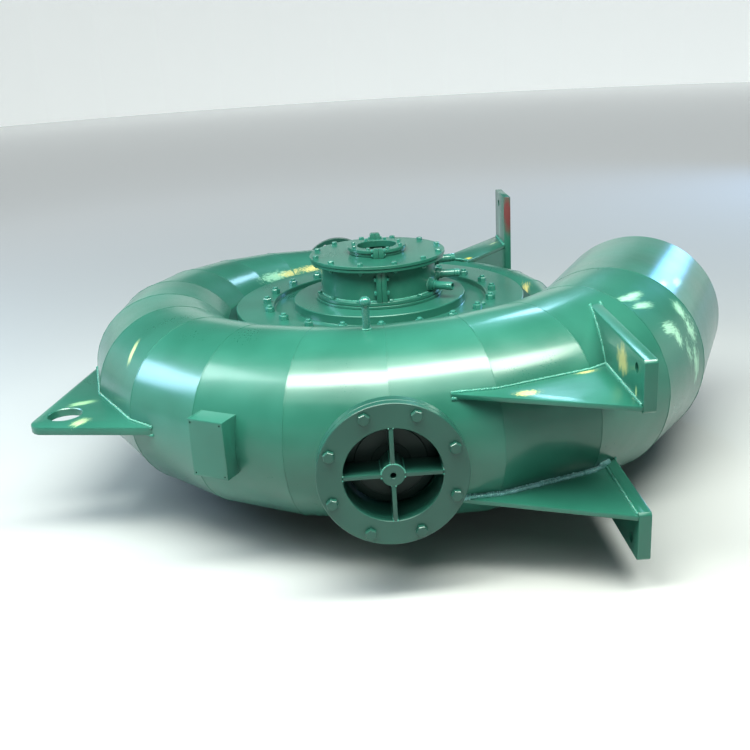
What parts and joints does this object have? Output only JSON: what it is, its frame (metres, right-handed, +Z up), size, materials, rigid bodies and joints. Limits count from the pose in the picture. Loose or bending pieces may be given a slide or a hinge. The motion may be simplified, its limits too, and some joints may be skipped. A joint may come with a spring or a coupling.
{
  "type": "francis turbine spiral case",
  "caption": "Welded spiral turbine case with straight inlet pipe, stay ring, head cover, split bearing housing, relief valve port, feet, lifting lug and draft flange.",
  "frame": {"origin": "on the floor under the middle of the part's footprint", "axes": "+Z up along the turbine's axis, -Y towards the relief valve port, +X towards the inlet and the outer faces of the feet"},
  "size_m": [2.0012, 1.967, 0.636],
  "materials": {
    "green_enamel": "glossy teal green machine enamel over welded steel plate",
    "flange_enamel": "teal green machine enamel over turned steel",
    "wetted_enamel": "teal green machine enamel on the stay ring and draft side"
  },
  "bodies": {
    "root": {"ball_post": "green_enamel", "bearing_base": "green_enamel", "bearing_housing_left": "green_enamel", "bearing_housing_right": "green_enamel", "bearing_lid": "green_enamel", "bottom_cover": "wetted_enamel", "draft_cone": "wetted_enamel", "draft_flange": "wetted_enamel", "front_gusset_lower": "green_enamel", "front_gusset_upper": "green_enamel", "front_sole_lower": "green_enamel", "front_sole_upper": "green_enamel", "head_cover": "green_enamel", "hose_nipple_1": "green_enamel", "hose_nipple_2": "green_enamel", "hose_nipple_3": "green_enamel", "inlet_pipe": "green_enamel", "lifting_lug": "green_enamel", "nameplate_pad": "green_enamel", "rear_gusset_lower": "green_enamel", "rear_gusset_upper": "green_enamel", "rear_sole": "green_enamel", "rear_stub_flange": "flange_enamel", "rear_stub_pipe": "green_enamel", "rear_web": "green_enamel", "relief_back_flange": "flange_enamel", "relief_disc": "flange_enamel", "relief_front_flange": "flange_enamel", "relief_neck": "green_enamel", "relief_spider": "flange_enamel", "shaft_collar_left": "green_enamel", "shaft_collar_right": "green_enamel", "shell_course_01": "green_enamel", "shell_course_02": "green_enamel", "shell_course_03": "green_enamel", "shell_course_04": "green_enamel", "shell_course_05": "green_enamel", "shell_course_06": "green_enamel", "shell_course_07": "green_enamel", "shell_course_08": "green_enamel", "shell_course_09": "green_enamel", "shell_course_10": "green_enamel", "shell_course_11": "green_enamel", "stay_ring": "wetted_enamel"}
  },
  "joints": []
}
